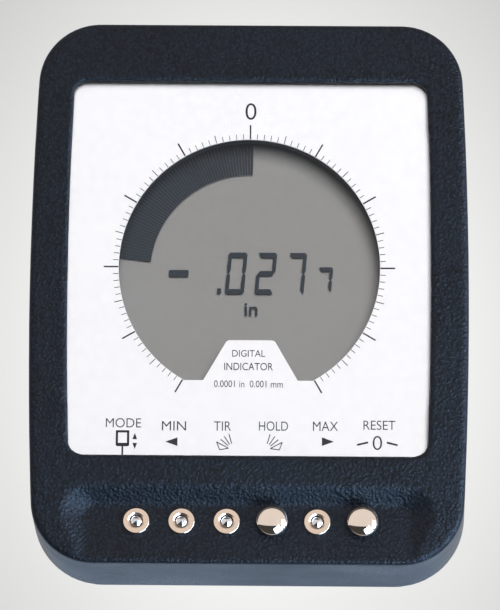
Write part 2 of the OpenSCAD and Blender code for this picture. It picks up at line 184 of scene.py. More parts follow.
def add_soft_box(name, place, target, width, height, power, colour):
    """Hangs a rectangular light at a place, turned to a target."""
    bpy.ops.object.light_add(type="AREA", location=place)
    light = bpy.context.object
    light.name = name
    light.data.shape = "RECTANGLE"
    light.data.size = width
    light.data.size_y = height
    light.data.energy = power
    light.data.color = colour
    away = light.location - type(light.location)(target)
    light.rotation_euler = away.to_track_quat("Z", "Y").to_euler()
    return light


# The dial light is kept out of shiny surfaces, and the two low lights only show as glints on them.
warm_white, pale_blue, glint_blue = (1, 0.99, 0.98), (0.46, 0.68, 1), (0.42, 0.66, 1)
dial_light = add_soft_box("dial_light", (0.12, 0.21, 0.85), aim, 0.42, 0.42, 8.5, warm_white)
hide_from(dial_light, "glossy")
raking_light = add_soft_box(
    "raking_light", (0.17, -0.21, 0.22), aim, 0.20, 0.20, 2.4, glint_blue
)
hide_from(raking_light, "diffuse")
side_light = add_soft_box("side_light", (0.46, -0.05, 0.24), aim, 0.30, 0.16, 4.0, pale_blue)
hide_from(side_light, "diffuse")


def add_card(name, place, width, length, colour):
    """Lays a glowing card that only shows as a reflection in shiny surfaces."""
    bpy.ops.object.select_all(action="DESELECT")
    bpy.ops.mesh.primitive_plane_add(size=1, location=place)
    card = bpy.context.object
    card.name = name
    card.scale = (width, length, 1)
    bpy.ops.object.transform_apply(location=False, rotation=False, scale=True)
    hide_from(card, "camera", "diffuse", "shadow")
    card.data.materials.append(glowing_material(name, colour, 0.5)[0])


# A warm ceiling gives the keys something to mirror, and a blue card tints the foot of the case.
add_card("warm_ceiling", (0, 2.34, 0.45), 7, 5, (0.80, 0.784, 0.768))
add_card("blue_card", (0.03, -0.16, bench_z + 2 * mm), 0.5, 0.24, (0.48, 0.60, 0.78))

room = bpy.data.worlds.new("room")
room.use_nodes = True
room.node_tree.nodes["Background"].inputs["Color"].default_value = (0.9, 0.9, 0.9, 1)
room.node_tree.nodes["Background"].inputs["Strength"].default_value = 0.06
bpy.context.scene.world = room
bpy.context.scene.view_settings.view_transform = "Standard"


# ---- Case ----
# The front housing is a zinc die casting under a navy-black wrinkle paint. Casting and paint leave
# every edge softly rounded, so the design's solid is remeshed finely and relaxed, then thinned.

def new_group(name, inputs, outputs):
    """Starts a shader node group with named value inputs and named outputs."""
    group = bpy.data.node_groups.new(name, "ShaderNodeTree")
    for socket, value in inputs.items():
        made = group.interface.new_socket(socket, in_out="INPUT", socket_type="NodeSocketFloat")
        made.default_value = value
    for socket in outputs:
        group.interface.new_socket(socket, in_out="OUTPUT", socket_type="NodeSocketFloat")
    entry = group.nodes.new("NodeGroupInput")
    entry.location = (-900, 0)
    leave = group.nodes.new("NodeGroupOutput")
    leave.location = (900, 0)
    return group, entry, leave


def place_group(tree, group, place, **inputs):
    """Places a node group in a material with its own values."""
    node = tree.nodes.new("ShaderNodeGroup")
    node.node_tree = group
    node.location = place
    for socket, value in inputs.items():
        node.inputs[socket.replace("_", " ")].default_value = value
    return node


# Grain of a paint or a moulded skin: small rounded cells with finer noise over them.
grain, grain_in, grain_out = new_group(
    "skin_grain", {"Cells": 1500, "Fineness": 3}, ["Height", "Pit_shade"]
)
grain_place = grain.nodes.new("ShaderNodeTexCoord")
grain_place.location = (-900, -250)
grain_cells = add_node(grain, "ShaderNodeTexVoronoi", (-500, 150), Randomness=1)
grain_cells.feature = "SMOOTH_F1"
grain_warp = add_node(grain, "ShaderNodeTexNoise", (-500, -150), Detail=3, Roughness=0.6)
grain_scale = add_node(grain, "ShaderNodeMath", (-700, -150))
grain_scale.operation = "MULTIPLY"
grain_mix = add_node(grain, "ShaderNodeMath", (-100, 0))
grain_mix.operation = "MULTIPLY_ADD"
grain_mix.inputs[1].default_value = 0.55
# This mask marks the pits, where a grained skin is painted darker: painted shade.
grain_pit_shade = add_node(grain, "ShaderNodeMapRange", (300, -150))
grain_pit_shade.inputs["From Min"].default_value = 0.45
grain_pit_shade.inputs["From Max"].default_value = 0.85
grain.links.new(grain_place.outputs["Object"], grain_cells.inputs["Vector"])
grain.links.new(grain_place.outputs["Object"], grain_warp.inputs["Vector"])
grain.links.new(grain_in.outputs["Cells"], grain_cells.inputs["Scale"])
grain.links.new(grain_in.outputs["Cells"], grain_scale.inputs[0])
grain.links.new(grain_in.outputs["Fineness"], grain_scale.inputs[1])
grain.links.new(grain_scale.outputs[0], grain_warp.inputs["Scale"])
grain.links.new(grain_warp.outputs["Fac"], grain_mix.inputs[0])
grain.links.new(grain_cells.outputs["Distance"], grain_mix.inputs[2])
grain.links.new(grain_mix.outputs[0], grain_out.inputs["Height"])
grain.links.new(grain_mix.outputs[0], grain_pit_shade.inputs["Value"])
grain.links.new(grain_pit_shade.outputs["Result"], grain_out.inputs["Pit_shade"])

# Handling marks: broad faint clouds that dull a surface here and there.
smudge, smudge_in, smudge_out = new_group(
    "smudges", {"Size": 60, "Clean": 0.3, "Dull": 0.5}, ["Roughness"]
)
smudge_place = smudge.nodes.new("ShaderNodeTexCoord")
smudge_place.location = (-900, -250)
smudge_noise = add_node(smudge, "ShaderNodeTexNoise", (-500, 0), Detail=4, Roughness=0.6)
smudge_range = add_node(smudge, "ShaderNodeMapRange", (0, 0))
smudge_range.inputs["From Min"].default_value = 0.35
smudge_range.inputs["From Max"].default_value = 0.7
smudge.links.new(smudge_place.outputs["Object"], smudge_noise.inputs["Vector"])
smudge.links.new(smudge_in.outputs["Size"], smudge_noise.inputs["Scale"])
smudge.links.new(smudge_noise.outputs["Fac"], smudge_range.inputs["Value"])
smudge.links.new(smudge_in.outputs["Clean"], smudge_range.inputs["To Min"])
smudge.links.new(smudge_in.outputs["Dull"], smudge_range.inputs["To Max"])
smudge.links.new(smudge_range.outputs["Result"], smudge_out.inputs["Roughness"])


def grained_material(name, dark, light, cells, depth, clean, dull, shine=0.25):
    """A paint, plastic or rubber with a grained skin, painted darker in its pits as painted shade.

    There are so many cells to a metre, and clean and dull are its least and greatest roughness.
    """
    material, tree, shader = new_material(name)
    skin = place_group(tree, grain, (-900, 0), Cells=cells)
    tint = add_ramp(tree, (-600, 200), 0, 1, (*light, 1), (*dark, 1))
    bump = add_node(tree, "ShaderNodeBump", (-300, -250), Strength=1, Distance=depth)
    marks = place_group(tree, smudge, (-600, -100), Clean=clean, Dull=dull)
    shader.inputs["Specular IOR Level"].default_value = shine
    # The tint runs from light to dark with the pit mask, a painted shade in the pits.
    tree.links.new(skin.outputs["Pit_shade"], tint.inputs["Fac"])
    tree.links.new(tint.outputs["Color"], shader.inputs["Base Color"])
    tree.links.new(skin.outputs["Height"], bump.inputs["Height"])
    tree.links.new(bump.outputs["Normal"], shader.inputs["Normal"])
    tree.links.new(marks.outputs["Roughness"], shader.inputs["Roughness"])
    return material


def copy_solid(node, name):
    """Copies a design solid into a new piece with its vertices merged."""
    bpy.ops.object.select_all(action="DESELECT")
    nodes[node].select_set(True)
    bpy.context.view_layer.objects.active = nodes[node]
    bpy.ops.object.duplicate()
    piece = bpy.context.object
    piece.name = name
    bpy.ops.object.parent_clear(type="CLEAR_KEEP_TRANSFORM")
    bpy.ops.object.mode_set(mode="EDIT")
    bpy.ops.mesh.select_all(action="SELECT")
    bpy.ops.mesh.remove_doubles(threshold=0.001 * mm)
    bpy.ops.object.mode_set(mode="OBJECT")
    return piece


def apply_modifier(piece, kind, **settings):
    """Adds a modifier with its settings and applies it."""
    modifier = piece.modifiers.new(kind.lower(), kind)
    for setting, value in settings.items():
        setattr(modifier, setting, value)
    bpy.context.view_layer.objects.active = piece
    bpy.ops.object.modifier_apply(modifier=modifier.name)


def finish_piece(piece, body, slot, material, *replaced):
    """Puts the piece's place in its mesh, gives it its material, and ties it to the frame."""
    bpy.ops.object.select_all(action="DESELECT")
    piece.select_set(True)
    bpy.context.view_layer.objects.active = piece
    bpy.ops.object.transform_apply(location=True, rotation=True, scale=True)
    piece.data.materials.clear()
    piece.data.materials.append(material)
    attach(piece, body)
    if replaced:
        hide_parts(*replaced)


case_shell = copy_solid("front_housing", "case_shell")
apply_modifier(case_shell, "REMESH", mode="VOXEL", voxel_size=0.33 * mm, use_smooth_shade=True)
apply_modifier(case_shell, "SMOOTH", factor=0.5, iterations=3)
apply_modifier(case_shell, "DECIMATE", ratio=0.33)
bpy.ops.object.shade_smooth()
apply_modifier(case_shell, "WEIGHTED_NORMAL", weight=80, keep_sharp=False)
wrinkle_depth = 0.12 * mm
wrinkle_paint = grained_material(
    "navy_wrinkle_paint",
    (0.003, 0.004, 0.007),
    (0.008, 0.0115, 0.019),
    2600,
    wrinkle_depth,
    0.26,
    0.38,
    shine=0.2,
)
paint_shader = wrinkle_paint.node_tree.nodes["Principled BSDF"]
paint_shader.inputs["Sheen Weight"].default_value = 0.08
paint_shader.inputs["Sheen Roughness"].default_value = 0.4
paint_shader.inputs["Sheen Tint"].default_value = (0.2, 0.5, 1, 1)
finish_piece(case_shell, "case", "case_paint", wrinkle_paint, "front_housing")


# ---- Dial plate ----
# A thin sheet of aluminium, painted white and screen printed, with the round display window cut
# out of it. Its graduations stand every three degrees around the window.

def painted_sheet(name, colour, mottle, clean, dull, shine=0.3):
    """A smooth paint with a slight orange peel and a faint change of tone."""
    material, tree, shader = new_material(name)
    skin = place_group(tree, grain, (-900, 0), Cells=900)
    tint = add_ramp(tree, (-600, 200), 0, 1, (*colour, 1), (*mottle, 1))
    bump = add_node(tree, "ShaderNodeBump", (-300, -250), Strength=0.3, Distance=0.004 * mm)
    marks = place_group(tree, smudge, (-600, -100), Clean=clean, Dull=dull)
    shader.inputs["Specular IOR Level"].default_value = shine
    tree.links.new(skin.outputs["Height"], tint.inputs["Fac"])
    tree.links.new(tint.outputs["Color"], shader.inputs["Base Color"])
    tree.links.new(skin.outputs["Height"], bump.inputs["Height"])
    tree.links.new(bump.outputs["Normal"], shader.inputs["Normal"])
    tree.links.new(marks.outputs["Roughness"], shader.inputs["Roughness"])
    return material


def paint_node(node, material):
    """Gives a design solid its material."""
    nodes[node].data.materials.clear()
    nodes[node].data.materials.append(material)


dial_paint = painted_sheet("white_dial_paint", (0.90, 0.90, 0.92), (0.84, 0.84, 0.88), 0.35, 0.5)
paint_node("dial_plate", dial_paint)

ink = painted_sheet(
    "black_screen_ink", (0.018, 0.015, 0.020), (0.030, 0.026, 0.032), 0.5, 0.6, shine=0.05
)
ink_depth = 0.03 * mm
ink_z = plate_z + ink_depth / 2
dial_y = 3.5 * mm
window_r = 18.36 * mm


def add_strip(length, width, depth, place, turn):
    """Adds a flat strip with chamfered corners, its length along its own X, turned in the plane."""
    bpy.ops.object.select_all(action="DESELECT")
    bpy.ops.mesh.primitive_plane_add(size=1, location=place, rotation=(0, 0, turn))
    strip = bpy.context.object
    strip.scale = (length, width, 1)
    bpy.ops.object.transform_apply(location=False, rotation=False, scale=True)
    bpy.ops.object.mode_set(mode="EDIT")
    bpy.ops.mesh.bevel(offset=0.12 * min(length, width), affect="VERTICES")
    bpy.ops.mesh.select_all(action="SELECT")
    bpy.ops.mesh.extrude_region_move(TRANSFORM_OT_translate={"value": (0, 0, -depth)})
    bpy.ops.mesh.select_all(action="SELECT")
    bpy.ops.transform.translate(value=(0, 0, depth / 2))
    bpy.ops.mesh.normals_make_consistent(inside=False)
    bpy.ops.object.mode_set(mode="OBJECT")
    return strip


def join_pieces(pieces, name):
    """Joins pieces into one."""
    bpy.ops.object.select_all(action="DESELECT")
    for piece in pieces:
        piece.select_set(True)
    bpy.context.view_layer.objects.active = pieces[0]
    bpy.ops.object.join()
    joined = bpy.context.object
    joined.name = name
    return joined


mark_gap = 0.05 * mm
graduations = []
for step in range(-50, 51):
    degrees = 3 * step
    length, width = 0.75 * mm, 0.095 * mm
    if degrees % 15 == 0:
        length, width = 1.15 * mm, 0.115 * mm
    if degrees % 30 == 0:
        length, width = 2.05 * mm, 0.21 * mm
    angle = math.radians(90 - degrees)
    middle = window_r + mark_gap + length / 2
    place = (middle * math.cos(angle), dial_y + middle * math.sin(angle), ink_z)
    graduations.append(add_strip(length, width, ink_depth, place, angle))
finish_piece(join_pieces(graduations, "dial_graduations"), "case", "white_plate", ink)


# ---- Legends ----
# The names of the six keys, each over its symbol, the zero of the scale, and two lines that say
# what the tool is and what it resolves. All are screen printed in black on the dial plate.

def add_text(words, centre, width, height, depth, boldness=0):
    """Adds words as a thin mesh, fitted to a width and a height around a centre."""
    bpy.ops.object.select_all(action="DESELECT")
    bpy.ops.object.text_add()
    text = bpy.context.object
    text.data.body = words
    text.data.extrude = 0.5
    text.data.offset = boldness
    bpy.ops.object.convert(target="MESH")
    text = bpy.context.object
    xs = [vertex.co.x for vertex in text.data.vertices]
    ys = [vertex.co.y for vertex in text.data.vertices]
    low_x, high_x, low_y, high_y = min(xs), max(xs), min(ys), max(ys)
    for vertex in text.data.vertices:
        vertex.co.x = centre[0] + (vertex.co.x - (low_x + high_x) / 2) * width / (high_x - low_x)
        vertex.co.y = centre[1] + (vertex.co.y - (low_y + high_y) / 2) * height / (high_y - low_y)
        vertex.co.z = centre[2] + vertex.co.z * depth
    return text


def add_outline(points, depth, z):
    """Adds a thin flat shape from its corners."""
    bpy.ops.object.select_all(action="DESELECT")
    bpy.ops.mesh.primitive_circle_add(vertices=len(points), fill_type="NGON", location=(0, 0, 0))
    shape = bpy.context.object
    for vertex, (x, y) in zip(shape.data.vertices, points):
        vertex.co = (x, y, z + depth / 2)
    bpy.ops.object.mode_set(mode="EDIT")
    bpy.ops.mesh.select_all(action="SELECT")
    bpy.ops.mesh.extrude_region_move(TRANSFORM_OT_translate={"value": (0, 0, -depth)})
    bpy.ops.mesh.select_all(action="SELECT")
    bpy.ops.mesh.normals_make_consistent(inside=False)
    bpy.ops.object.mode_set(mode="OBJECT")
    return shape


def add_line(start, end, width):
    """Adds a printed line between two points of the dial plate."""
    run, rise = end[0] - start[0], end[1] - start[1]
    place = ((start[0] + end[0]) / 2, (start[1] + end[1]) / 2, ink_z)
    return add_strip(math.hypot(run, rise), width, ink_depth, place, math.atan2(rise, run))


# Each word with the middle and the width of its place, in millimetres.
legend_words = {
    "MODE": (-17.35, -18.58, 4.9),
    "MIN": (-10.31, -18.95, 3.36),
    "TIR": (-3.56, -18.94, 2.38),
    "HOLD": (3.54, -18.89, 4.04),
    "MAX": (10.77, -18.87, 3.48),
    "RESET": (18.27, -18.67, 4.44),
}
legend_height, thinner = 1.3 * mm, -0.006
legends = [
    add_text(word, (x * mm, y * mm, ink_z), width * mm, legend_height, ink_depth, thinner)
    for word, (x, y, width) in legend_words.items()
]
zero_place = (0.04 * mm, 25.94 * mm, ink_z)
legends.append(add_text("0", zero_place, 1.55 * mm, 2.4 * mm, ink_depth, thinner))
for words, y, width, height in (
    ("DIGITAL", -8.7, 4.6, 0.95),
    ("INDICATOR", -10.55, 6.8, 1.05),
    ("0.0001 in  0.001 mm", -13.0, 9.6, 0.95),
):
    legends.append(add_text(words, (0, y * mm, ink_z), width * mm, height * mm, ink_depth))
finish_piece(join_pieces(legends, "dial_legends"), "case", "white_plate", ink)

# The mode symbol is a small indicator with its stem running off the plate, between two arrows.
symbols = []
icon_x, icon_half, icon_top, icon_foot = -17.45 * mm, 0.78 * mm, -19.78 * mm, -21.62 * mm
stroke = 0.32 * mm
for side in (-1, 1):
    x = icon_x + side * icon_half
    symbols.append(add_line((x, icon_foot - stroke / 2), (x, icon_top + stroke / 2), stroke))
for y, width in ((icon_top, stroke), (icon_foot, 1.5 * stroke)):
    symbols.append(add_line((icon_x - icon_half, y), (icon_x + icon_half, y), width))
icon_stem_low, icon_stem_width = -23.1 * mm, 0.24 * mm
symbols.append(add_line((icon_x, icon_foot), (icon_x, icon_stem_low), icon_stem_width))
arrow_x, arrow_half = -15.74 * mm, 0.32 * mm
for tip, base in ((-19.98 * mm, -20.86 * mm), (-22.26 * mm, -21.38 * mm)):
    corners = ((arrow_x, tip), (arrow_x - arrow_half, base), (arrow_x + arrow_half, base))
    symbols.append(add_outline(corners, ink_depth, ink_z))

# Solid arrow heads: to the left for the least reading, and to the right for the greatest.
head_half = 0.6 * mm
for tip_x, base_x, y in (
    (-11.5 * mm, -9.8 * mm, -21.17 * mm),
    (11.95 * mm, 10.28 * mm, -21.02 * mm),
):
    corners = ((tip_x, y), (base_x, y + head_half), (base_x, y - head_half))
    symbols.append(add_outline(corners, ink_depth, ink_z))

# A fan of rays with an open wedge, for the spread of readings, and its mirror image for hold.
fan_foot_y, ray_width = -22.3 * mm, 0.13 * mm


def fan_point(foot_x, side, degrees, reach):
    """A point of a fan that opens to the left for side 1 and to the right for side -1."""
    angle = math.radians(degrees)
    return foot_x + side * reach * math.cos(angle), fan_foot_y + reach * math.sin(angle)


for foot_x, side in ((-2.0 * mm, 1), (2.42 * mm, -1)):
    for ray in (106, 124, 140):
        ends = [fan_point(foot_x, side, ray, reach) for reach in (0.95 * mm, 2.35 * mm)]
        symbols.append(add_line(*ends, ray_width))
    wedge = [
        fan_point(foot_x, side, 159, 0.74 * mm),
        fan_point(foot_x, side, 154, 2.62 * mm),
        fan_point(foot_x, side, 178, 1.94 * mm),
    ]
    for start, end in zip(wedge, wedge[1:] + wedge[:1]):
        symbols.append(add_line(start, end, ray_width))

# A zero between two sloping dashes, for the reset.
dash_low, dash_high, dash_width = -21.45 * mm, -21.08 * mm, 0.26 * mm
symbols.append(add_line((15.15 * mm, dash_low), (16.7 * mm, dash_high), dash_width))
symbols.append(add_line((19.3 * mm, dash_high), (20.8 * mm, dash_low), dash_width))
reset_place = (17.99 * mm, -21.15 * mm, ink_z)
symbols.append(add_text("0", reset_place, 1.3 * mm, 1.95 * mm, ink_depth, -0.01))
finish_piece(join_pieces(symbols, "dial_symbols"), "case", "white_plate", ink)


# ---- Liquid-crystal display ----
# Two sheets of glass over a grey reflector. The electrodes are an arc of thin bars for the pointer
# and seven-bar digits for the reading, dark where they are switched on.

def clear_material(name, tint, opacity, roughness):
    """A clear sheet: mostly see-through, with a faint tint and clouds of dust on its surface."""
    material, tree, shader = new_material(name)
    marks = place_group(tree, smudge, (-600, -100), Clean=roughness, Dull=3 * roughness)
    dust = add_node(tree, "ShaderNodeMapRange", (-300, -300))
    dust.inputs["From Min"].default_value = roughness
    dust.inputs["From Max"].default_value = 3 * roughness
    dust.inputs["To Min"].default_value = opacity
    dust.inputs["To Max"].default_value = 1.4 * opacity
    shader.inputs["Base Color"].default_value = (*tint, 1)
    tree.links.new(marks.outputs["Roughness"], shader.inputs["Roughness"])
    tree.links.new(marks.outputs["Roughness"], dust.inputs["Value"])
    tree.links.new(dust.outputs["Result"], shader.inputs["Alpha"])
    return material


def clear_sheet(node, name, lift, slot, material):
    """Copies a clear sheet, lifts its lower face off what it lies on, and breaks its edges."""
    sheet = copy_solid(node, name)
    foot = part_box(node)[0][2]
    for vertex in sheet.data.vertices:
        if vertex.co.z < foot + lift:
            vertex.co.z = foot + lift
    apply_modifier(sheet, "BEVEL", width=0.06 * mm, segments=2, limit_method="ANGLE")
    finish_piece(sheet, "case", slot, material, node)


clear_lens = clear_material("clear_lens", (0.9, 0.92, 0.94), 0.008, 0.05)
display_glass = clear_material("display_front_glass", (0.75, 0.78, 0.76), 0.010, 0.08)
clear_sheet("lens", "lens_sheet", 0.06 * mm, "clear_lens", clear_lens)
clear_sheet("lcd_front_glass", "display_front_sheet", 0.04 * mm, "lcd_glass", display_glass)
reflector = painted_sheet(
    "display_reflector", (0.262, 0.258, 0.256), (0.246, 0.243, 0.241), 0.4, 0.5, shine=0.1
)
for node in ("lcd_rear_glass", "lcd_reflector"):
    paint_node(node, reflector)

segment, segment_tree, segment_shader = new_material("switched_on_segment")
segment_fade = add_node(segment_tree, "ShaderNodeTexNoise", (-700, 0), Scale=350, Detail=2)
segment_place = add_node(segment_tree, "ShaderNodeTexCoord", (-900, 0))
segment_alpha = add_node(segment_tree, "ShaderNodeMapRange", (-400, -200))
segment_alpha.inputs["To Min"].default_value = 0.90
segment_alpha.inputs["To Max"].default_value = 0.99
segment_shader.inputs["Base Color"].default_value = (0.019, 0.026, 0.036, 1)
segment_shader.inputs["Roughness"].default_value = 0.6
segment_shader.inputs["Specular IOR Level"].default_value = 0.1
segment_tree.links.new(segment_place.outputs["Object"], segment_fade.inputs["Vector"])
segment_tree.links.new(segment_fade.outputs["Fac"], segment_alpha.inputs["Value"])
segment_tree.links.new(segment_alpha.outputs["Result"], segment_shader.inputs["Alpha"])

# The gaps between the bars of the pointer close from the zero of the scale towards its left end.
liquid_lift, liquid_depth = 0.5 * mm, 0.02 * mm
liquid_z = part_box("lcd_front_glass")[0][2] + liquid_lift
bar_pitch = math.radians(1.5)
bar_count = 57
widest_gap, closing = 0.096 * mm, 0.0015 * mm
bar_inner, bar_outer = 14.1 * mm, 19.1 * mm

bars = []
for count in range(bar_count):
    bar = add_strip(bar_outer - bar_inner, 1 * mm, liquid_depth, (0, 0, 0), 0)
    bar_gap = widest_gap - count * closing
    for vertex in bar.data.vertices:
        reach = (bar_inner + bar_outer) / 2 + vertex.co.x
        across = math.copysign(reach * bar_pitch / 2 - bar_gap / 2, vertex.co.y)
        angle = math.pi / 2 + (count - 0.5) * bar_pitch
        vertex.co.x = reach * math.cos(angle) - across * math.sin(angle)
        vertex.co.y = dial_y + reach * math.sin(angle) + across * math.cos(angle)
        vertex.co.z += liquid_z
    bars.append(bar)
finish_piece(join_pieces(bars, "display_pointer_bars"), "case", "lcd_glass", segment)

# Each digit leans five degrees. Its bars are a to f, clockwise from the top, and g across.
digit_bars = {"0": "abcdef", "2": "abged", "7": "abc"}
lean = math.tan(math.radians(5))


def add_digit(digit, left, foot, width, height, thick):
    """Adds the switched-on bars of one digit, mitred where they meet and necked half way up."""
    half, gap, corner = height / 2, 0.02 * mm, 0.35 * thick
    stem = 0.72 * thick
    level = [
        (corner, height),
        (width - corner, height),
        (width - corner / 2 - gap, height - corner / 2),
        (width - stem - gap, height - thick),
        (stem + gap, height - thick),
        (corner / 2 + gap, height - corner / 2),
    ]
    upright = [
        (width - corner / 2, height - corner / 2 - gap),
        (width, height - corner - gap),
        (width, half + 0.5 * thick),
        (width - 0.35 * stem, half + gap),
        (width - 0.65 * stem, half + gap),
        (width - stem, half + 0.5 * thick),
        (width - stem, height - thick - gap),
    ]
    across = [
        (0.5 * stem, half),
        (stem, half + thick / 2),
        (width - stem, half + thick / 2),
        (width - 0.5 * stem, half),
        (width - stem, half - thick / 2),
        (stem, half - thick / 2),
    ]
    shapes = {
        "a": level,
        "b": upright,
        "c": [(x, height - y) for x, y in upright],
        "d": [(x, height - y) for x, y in level],
        "e": [(width - x, height - y) for x, y in upright],
        "f": [(width - x, y) for x, y in upright],
        "g": across,
    }
    made = []
    for name in digit_bars[digit]:
        corners = [(left + x + lean * (y - half), foot + y) for x, y in shapes[name]]
        made.append(add_outline(corners, liquid_depth, liquid_z))
    return made


digit_foot, digit_height, digit_thick = 0.38 * mm, 5.97 * mm, 0.72 * mm
last_foot, last_height, last_thick = 0.71 * mm, 3.6 * mm, 0.62 * mm
minus_place, point_place = (-10.05 * mm, 3.3 * mm, liquid_z), (-4.3 * mm, 0.8 * mm, liquid_z)
unit_place = (0.24 * mm, -1.8 * mm, liquid_z)
reading = []
for digit, left, width in (("0", -3.25, 2.7), ("2", 0.95, 2.7), ("7", 5.3, 2.6)):
    reading += add_digit(digit, left * mm, digit_foot, width * mm, digit_height, digit_thick)
reading += add_digit("7", 9.6 * mm, last_foot, 2.1 * mm, last_height, last_thick)
reading.append(add_strip(2.8 * mm, 0.98 * mm, liquid_depth, minus_place, 0))
reading.append(add_strip(0.58 * mm, 0.75 * mm, liquid_depth, point_place, 0))
reading.append(add_text("in", unit_place, 1.85 * mm, 1.8 * mm, liquid_depth, 0.012))
finish_piece(join_pieces(reading, "display_reading"), "case", "lcd_glass", segment)


# ---- Keys ----
# Six keys stand in a row on the sloped shelf. Each is a bright nickel pin that slides in a turned
# collar pressed into the casting. Four pins end in a point, and two carry a domed cap.

def metal_material(name, colour, tarnish, streaks, clean, dull, lie="Z"):
    """A bare metal with fine turning or drawing lines, thin tarnish and handling marks."""
    material, tree, shader = new_material(name)
    place = add_node(tree, "ShaderNodeTexCoord", (-1300, -200))
    squeeze = add_node(tree, "ShaderNodeMapping", (-1100, -200))
    squeeze.inputs["Scale"].default_value = [1 if axis != lie else 14 for axis in "XYZ"]
    lines = add_node(tree, "ShaderNodeTexNoise", (-900, -200), Scale=1400, Detail=3, Roughness=0.6)
    clouds = add_node(tree, "ShaderNodeTexNoise", (-900, 200), Scale=260, Detail=4, Roughness=0.6)
    tint = add_ramp(tree, (-600, 200), 0.35, 0.75, (*colour, 1), (*tarnish, 1))
    bump = add_node(tree, "ShaderNodeBump", (-300, -250), Strength=streaks, Distance=0.004 * mm)
    marks = place_group(tree, smudge, (-600, -100), Size=220, Clean=clean, Dull=dull)
    shader.inputs["Metallic"].default_value = 1
    tree.links.new(place.outputs["Object"], squeeze.inputs["Vector"])
    tree.links.new(squeeze.outputs["Vector"], lines.inputs["Vector"])
    tree.links.new(place.outputs["Object"], clouds.inputs["Vector"])
    tree.links.new(clouds.outputs["Fac"], tint.inputs["Fac"])
    tree.links.new(tint.outputs["Color"], shader.inputs["Base Color"])
    tree.links.new(lines.outputs["Fac"], bump.inputs["Height"])
    tree.links.new(bump.outputs["Normal"], shader.inputs["Normal"])
    tree.links.new(marks.outputs["Roughness"], shader.inputs["Roughness"])
    return material


def turn_profile(name, profile, steps):
    """Turns a closed profile of (radius, height) points round the Z axis, as on a lathe."""
    bpy.ops.object.select_all(action="DESELECT")
    bpy.ops.mesh.primitive_circle_add(vertices=len(profile), fill_type="NOTHING", location=(0, 0, 0))
    piece = bpy.context.object
    piece.name = name
    for vertex, (radius, height) in zip(piece.data.vertices, profile):
        vertex.co = (radius, 0, height)
    bpy.ops.object.mode_set(mode="EDIT")
    bpy.ops.mesh.select_all(action="SELECT")
    bpy.ops.mesh.spin(steps=steps, angle=math.tau, center=(0, 0, 0), axis=(0, 0, 1))
    bpy.ops.mesh.select_all(action="SELECT")
    bpy.ops.mesh.remove_doubles(threshold=0.001 * mm)
    bpy.ops.mesh.delete_loose(use_verts=True, use_edges=True, use_faces=False)
    bpy.ops.mesh.select_all(action="SELECT")
    bpy.ops.mesh.normals_make_consistent(inside=False)
    bpy.ops.object.mode_set(mode="OBJECT")
    bpy.ops.object.shade_smooth_by_angle(angle=math.radians(28))
    return piece


def round_off(centre, radius, start, end, count):
    """Points of an arc in the profile plane, from one angle to another in degrees."""
    angles = [math.radians(start + (end - start) * i / count) for i in range(count + 1)]
    return [(centre[0] + radius * math.cos(a), centre[1] + radius * math.sin(a)) for a in angles]


shelf_slope = math.radians(11)
key_row_y = -32.35 * mm
key_pitch = 6.25 * mm
key_shift = 0.3 * mm
front_foot_y = -38.2 * mm
key_foot_z = face_z - (key_row_y - front_foot_y) * math.tan(shelf_slope)


def stand_key_piece(piece, number):
    """Moves a piece made at the origin to its key's place on the shelf."""
    piece.rotation_euler = (-shelf_slope, 0, 0)
    piece.location = (key_shift + (number - 2.5) * key_pitch, key_row_y, key_foot_z)


nickel = metal_material("warm_nickel", (0.90, 0.72, 0.58), (0.84, 0.66, 0.53), 0.25, 0.10, 0.24)
collar_height = 0.45 * mm
pin_r = 0.78 * mm
collar_profile = [
    (0.83 * mm, -2 * mm),
    (1.3 * mm, -2 * mm),
    (1.3 * mm, 0),
    (1.80 * mm, 0),
    *round_off((1.70 * mm, 0.33 * mm), 0.12 * mm, 0, 90, 5),
    *round_off((1.17 * mm, collar_height - 0.05 * mm), 0.05 * mm, 90, 150, 3),
    (0.96 * mm, 0.34 * mm),
    (0.93 * mm, 0.28 * mm),
    (0.93 * mm, -1.2 * mm),
    (0.83 * mm, -1.3 * mm),
]
collars = []
for number in range(6):
    collar = turn_profile("key_collar", collar_profile, 64)
    stand_key_piece(collar, number)
    collars.append(collar)
finish_piece(join_pieces(collars, "turned_key_collars"), "case", "nickel", nickel, "key_collars")

pin_foot = [(0, -3.6 * mm), (pin_r, -3.6 * mm), (pin_r, -2.75 * mm), (1.25 * mm, -2.75 * mm)]
pin_flange = [(1.25 * mm, -2.05 * mm), (pin_r, -2.05 * mm)]
pointed_end = [
    (pin_r, 0.10 * mm),
    *round_off((pin_r - 0.16 * mm, 0.10 * mm), 0.16 * mm, 0, 60, 5),
    *round_off((0, 0.49 * mm), 0.10 * mm, 60, 90, 2),
]
flat_end = [(pin_r, 1.68 * mm), (0, 1.68 * mm)]
bright_steel = metal_material("bright_pin_steel", (0.80, 0.79, 0.80), (0.70, 0.69, 0.70), 0.3, 0.08, 0.2)
key_names = ["mode", "min", "tir", "hold", "max", "reset"]
capped = ["hold", "reset"]
for number, key in enumerate(key_names):
    end = flat_end if key in capped else pointed_end
    pin = turn_profile(f"{key}_turned_pin", pin_foot + pin_flange + end, 48)
    stand_key_piece(pin, number)
    finish_piece(pin, key, "nickel", bright_steel, f"{key}_key")

